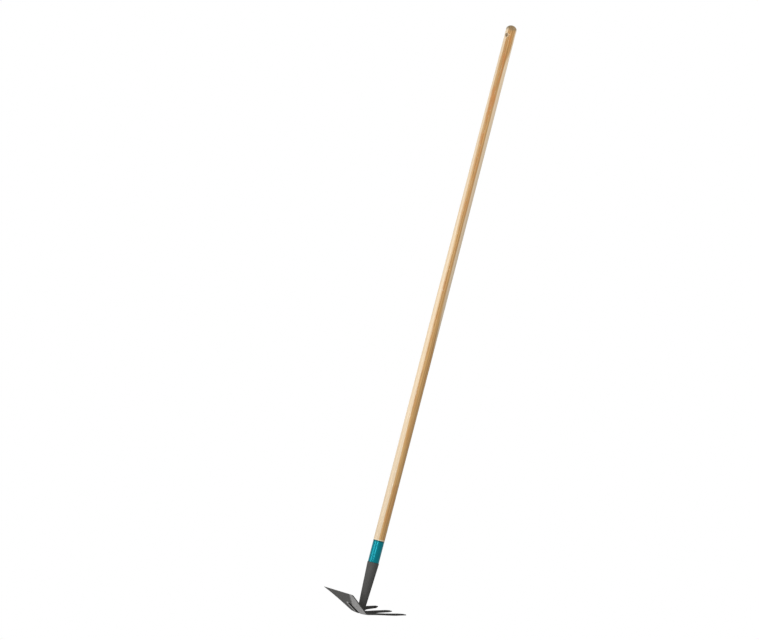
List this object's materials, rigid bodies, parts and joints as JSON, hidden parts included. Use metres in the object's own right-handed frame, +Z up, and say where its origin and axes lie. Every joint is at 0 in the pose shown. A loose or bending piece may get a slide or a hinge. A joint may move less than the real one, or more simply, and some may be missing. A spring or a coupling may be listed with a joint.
{
  "type": "garden hoe",
  "caption": "Long-handled double hoe with a wooden handle and a pressed steel head: a flat chopping blade on one side, pointed tines on the other.",
  "frame": {"origin": "centre of the hanging hole, on the handle's axis", "axes": "+Z up the handle, +X towards the tines, -X towards the blade, XZ is the mirror plane"},
  "size_m": [0.2087, 0.101, 1.494],
  "materials": {
    "lacquered_wood": "clear satin lacquer",
    "teal_band": "glossy",
    "coated_steel": "satin dark grey coat",
    "screw_steel": "zinc plated"
  },
  "bodies": {
    "root": {"handle": "lacquered_wood", "ferrule_band": "teal_band", "socket": "coated_steel", "head_plate": "coated_steel", "foot_weld": "coated_steel", "fixing_screw": "screw_steel"}
  },
  "joints": []
}
